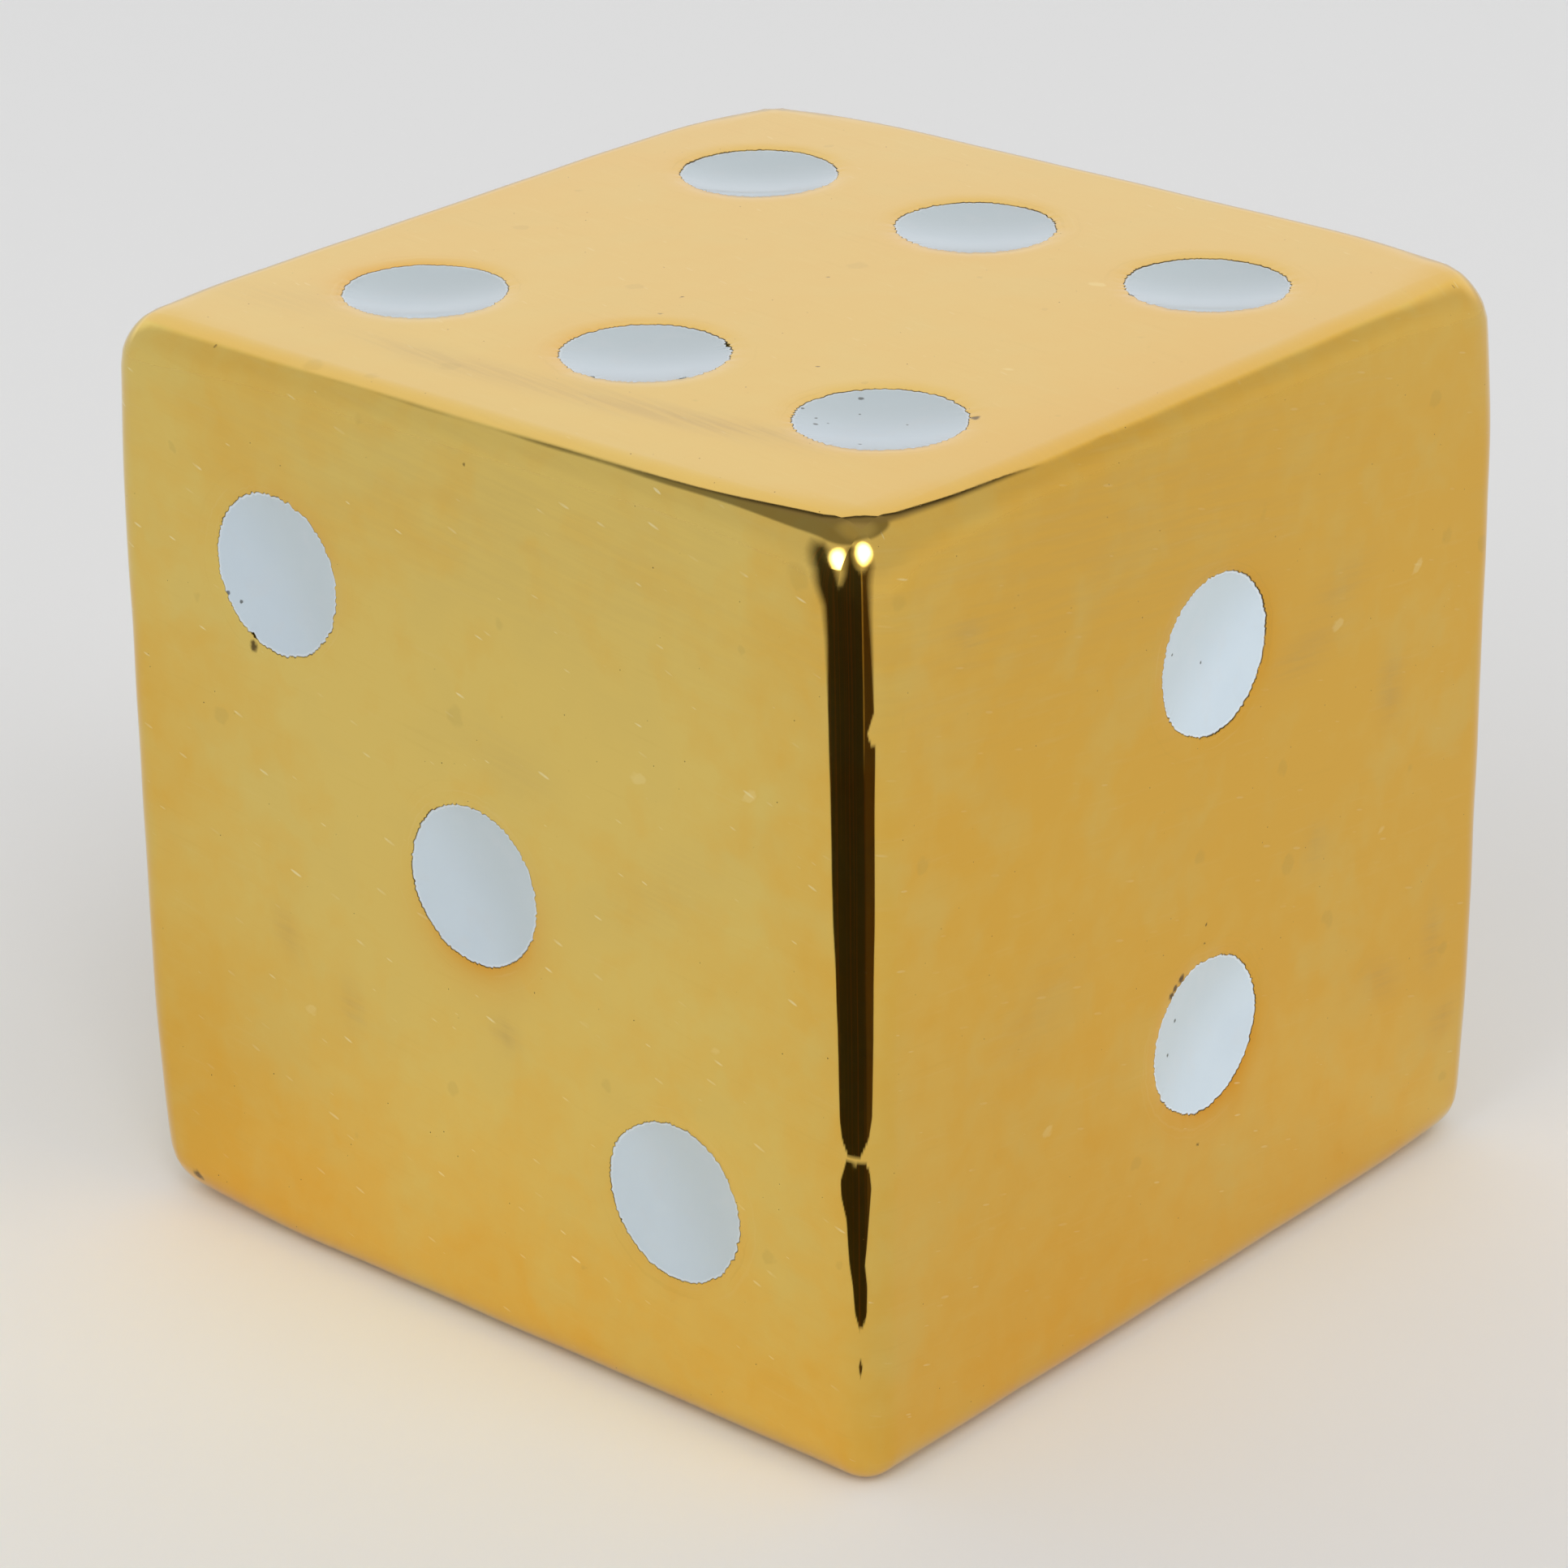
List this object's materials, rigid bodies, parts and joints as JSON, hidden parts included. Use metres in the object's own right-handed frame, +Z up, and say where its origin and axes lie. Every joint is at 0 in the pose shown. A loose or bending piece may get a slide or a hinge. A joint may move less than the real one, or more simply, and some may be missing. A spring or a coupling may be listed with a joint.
{
  "type": "ornamental gaming die",
  "caption": "Large ornamental gaming die: a polished brass block with rolled edges and rounder corners, with dished white enamel pips set in shallow round pockets.",
  "frame": {"origin": "middle of the underside, on the surface that the die stands on", "axes": "+Z up out of the six face, -Y out of the three face, +X out of the two face"},
  "size_m": [0.08, 0.0812, 0.0784],
  "materials": {
    "brass": "hand-buffed mirror polish",
    "enamel": "gloss white"
  },
  "bodies": {
    "root": {"body": "brass", "one_pip": "enamel", "two_upper_pip": "enamel", "two_lower_pip": "enamel", "three_upper_pip": "enamel", "three_middle_pip": "enamel", "three_lower_pip": "enamel", "four_upper_left_pip": "enamel", "four_upper_right_pip": "enamel", "four_lower_left_pip": "enamel", "four_lower_right_pip": "enamel", "five_upper_left_pip": "enamel", "five_upper_right_pip": "enamel", "five_middle_pip": "enamel", "five_lower_left_pip": "enamel", "five_lower_right_pip": "enamel", "six_front_left_pip": "enamel", "six_front_middle_pip": "enamel", "six_front_right_pip": "enamel", "six_back_left_pip": "enamel", "six_back_middle_pip": "enamel", "six_back_right_pip": "enamel"}
  },
  "joints": []
}
